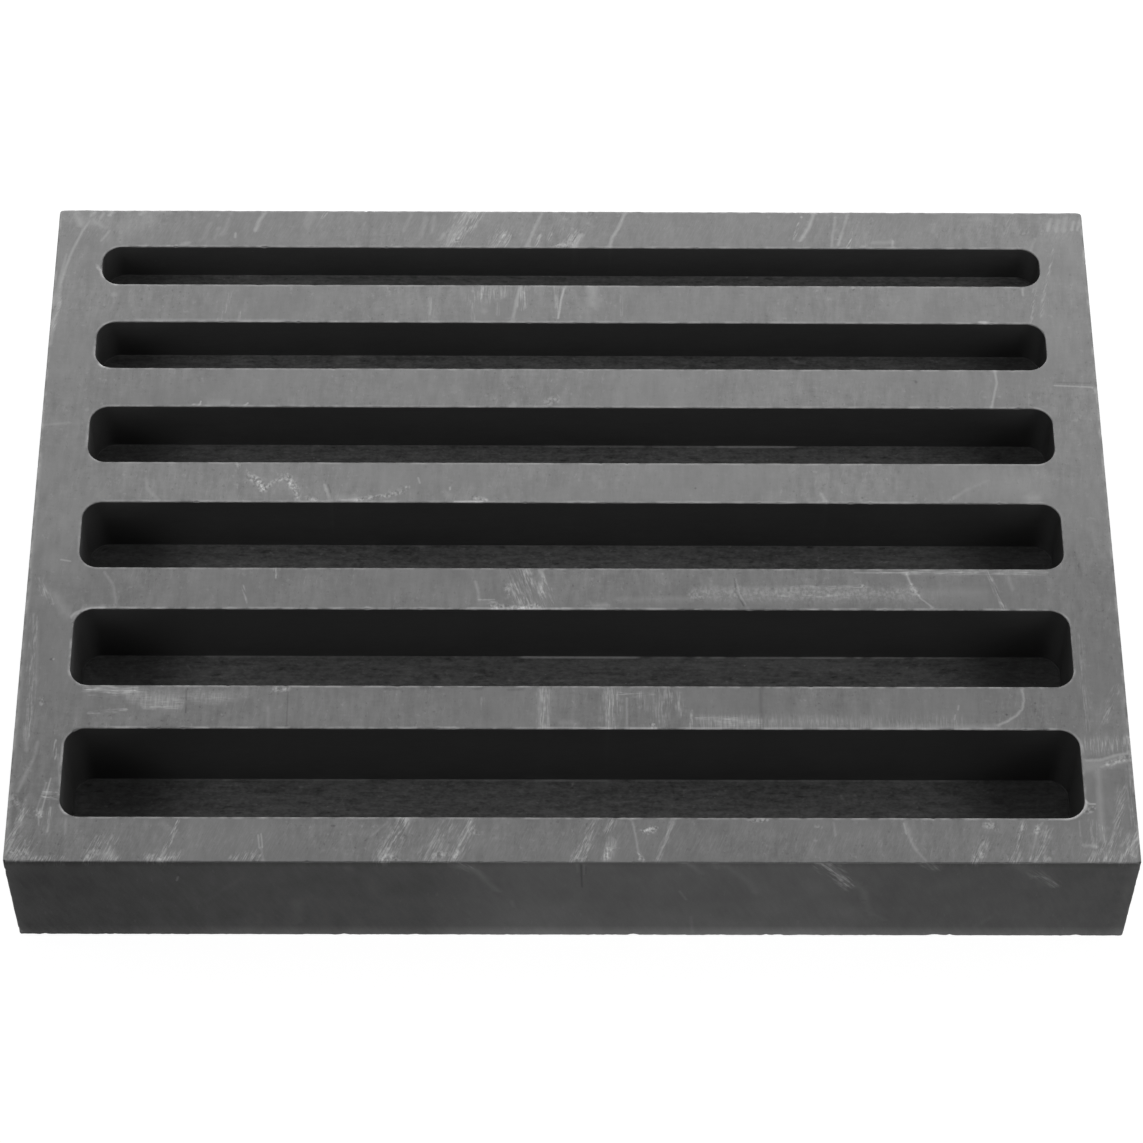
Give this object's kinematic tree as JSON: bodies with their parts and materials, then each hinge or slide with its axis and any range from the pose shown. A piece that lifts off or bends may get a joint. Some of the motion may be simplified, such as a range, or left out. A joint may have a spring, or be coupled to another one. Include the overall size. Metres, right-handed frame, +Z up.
{
  "type": "ingot mould",
  "caption": "Open graphite ingot mould: a flat rectangular block with a row of long square-section bar moulds, graded from narrow to wide, cut in its top face.",
  "frame": {"origin": "the middle of the bottom face, which the block stands on", "axes": "+X runs along the bar moulds, +Y points from the widest bar mould at the front to the narrowest at the back, and +Z is up out of the open moulds"},
  "size_m": [0.11, 0.08, 0.015],
  "materials": {
    "graphite": "satin"
  },
  "bodies": {
    "root": {"mould_block": "graphite"}
  },
  "joints": []
}
